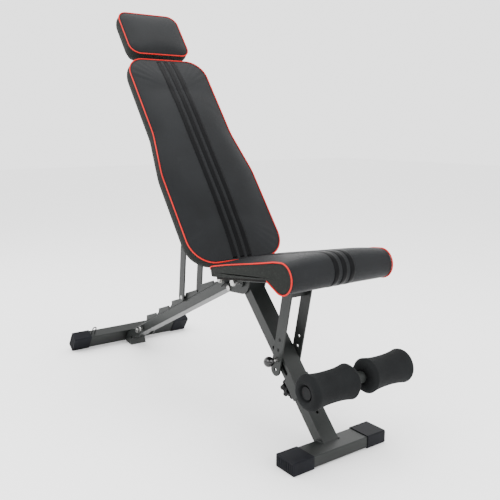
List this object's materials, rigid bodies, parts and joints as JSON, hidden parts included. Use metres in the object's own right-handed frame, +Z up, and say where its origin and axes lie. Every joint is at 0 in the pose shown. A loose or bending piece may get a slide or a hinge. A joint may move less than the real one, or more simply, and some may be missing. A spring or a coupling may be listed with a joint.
{
  "type": "adjustable weight bench",
  "caption": "Adjustable weight bench: padded back and headrest on a notched ladder rail, tilting seat, folding front leg and foam leg rollers.",
  "frame": {"origin": "middle of the bounding box at floor level", "axes": "+X towards the front foot and rollers, +Y to the left of a person sitting on the bench, +Z up"},
  "size_m": [1.3092, 0.482, 1.1938],
  "materials": {
    "frame": "satin graphite powder coat",
    "cap": "ribbed dark plastic",
    "disc": "soft matt",
    "zinc": "zinc plated",
    "wire": "gloss black coat",
    "vinyl": "stitched upholstery vinyl",
    "board": "black painted plywood",
    "foam": "closed-cell foam",
    "plug": "moulded black",
    "knob": "satin moulded",
    "ball": "gloss",
    "bush": "nylon"
  },
  "bodies": {
    "base": {"rear_foot_tube": "frame", "rear_cap_left": "cap", "rear_cap_right": "cap", "rear_discs": "disc", "band_loop_left": "wire", "band_loop_right": "wire", "rear_bracket": "frame", "rear_bracket_bolts": "zinc", "rail_tube": "frame", "catch_comb_left": "frame", "catch_comb_right": "frame", "hub_plate_left": "frame", "hub_plate_right": "frame", "hub_rail_bolts": "zinc", "hub_bolt": "zinc", "back_bolt": "zinc"},
    "back_hinge": {"back_bushings": "bush"},
    "back": {"back_bar_left": "frame", "back_bar_right": "frame", "back_cross_lower": "frame", "back_cross_upper": "frame", "strut_bolt": "zinc", "back_board": "board", "back_pad": "vinyl", "headrest_socket": "frame"},
    "headrest": {"headrest_post": "frame", "headrest_plate": "frame", "headrest_board": "board", "headrest_pad": "vinyl"},
    "strut": {"strut_bar_left": "frame", "strut_bar_right": "frame", "strut_rod": "zinc", "strut_spacer": "frame"},
    "leg": {"leg_tube": "frame", "front_foot_tube": "frame", "front_cap_left": "cap", "front_cap_right": "cap"},
    "seat": {"seat_bar_left": "frame", "seat_bar_right": "frame", "seat_lug_left": "frame", "seat_lug_right": "frame", "seat_crossbar": "frame", "seat_board": "board", "seat_pad": "vinyl", "bracket_bolt": "zinc"},
    "seat_bracket": {"bracket_bar_left": "frame", "bracket_bar_right": "frame", "bracket_cross": "frame"},
    "pull_pin": {"pull_pin": "zinc", "pull_ball": "ball"},
    "roller_arm": {"roller_collar": "frame", "roller_arm": "frame", "roller_bar": "frame", "roller_plugs": "plug"},
    "knob": {"star_knob": "knob"},
    "roller_left": {"roller_left": "foam"},
    "roller_right": {"roller_right": "foam"}
  },
  "joints": [
    {"name": "back_lower", "type": "hinge", "parent": "base", "child": "back_hinge", "pos_m": [0.10327, 0, 0.384], "axis": [0, 1, 0], "range_deg": [-66, 0]},
    {"name": "back_raise", "type": "hinge", "parent": "back_hinge", "child": "back", "pos_m": [0.10327, 0, 0.384], "axis": [0, 1, 0], "range_deg": [0, 28]},
    {"name": "headrest_lift", "type": "slide", "parent": "back", "child": "headrest", "axis": [-0.6018, 0, 0.7986], "range_m": [0, 0.08]},
    {"name": "strut_swing", "type": "hinge", "parent": "back", "child": "strut", "pos_m": [-0.1176, 0, 0.6771], "axis": [0, 1, 0], "range_deg": [0, 132]},
    {"name": "leg_fold", "type": "hinge", "parent": "base", "child": "leg", "pos_m": [0.17427, 0, 0.388], "axis": [0, 1, 0], "range_deg": [0, 80]},
    {"name": "seat_tilt", "type": "hinge", "parent": "leg", "child": "seat", "pos_m": [0.17427, 0, 0.388], "axis": [0, 1, 0], "range_deg": [-5, 6.5]},
    {"name": "bracket_swing", "type": "hinge", "parent": "seat", "child": "seat_bracket", "pos_m": [0.39572, 0, 0.43525], "axis": [0, 1, 0], "range_deg": [-12.6, 9.7]},
    {"name": "pin_pull", "type": "slide", "parent": "seat_bracket", "child": "pull_pin", "axis": [0, -1, 0], "range_m": [0, 0.085]},
    {"name": "roller_height", "type": "slide", "parent": "leg", "child": "roller_arm", "axis": [0.682, 0, -0.7314], "range_m": [0, 0.064]},
    {"name": "knob_turn", "type": "hinge", "parent": "roller_arm", "child": "knob", "pos_m": [0.38144, 0, 0.13681], "axis": [-0.7314, 0, -0.682], "continuous": true},
    {"name": "roller_spin_left", "type": "hinge", "parent": "roller_arm", "child": "roller_left", "pos_m": [0.61127, 0, 0.227], "axis": [0, 1, 0], "continuous": true},
    {"name": "roller_spin_right", "type": "hinge", "parent": "roller_arm", "child": "roller_right", "pos_m": [0.61127, 0, 0.227], "axis": [0, 1, 0], "continuous": true}
  ],
  "couplings": [
    {"joint": "strut_swing", "follows": "back_lower", "ratio": -2},
    {"joint": "bracket_swing", "follows": "seat_tilt", "ratio": -1.86}
  ]
}
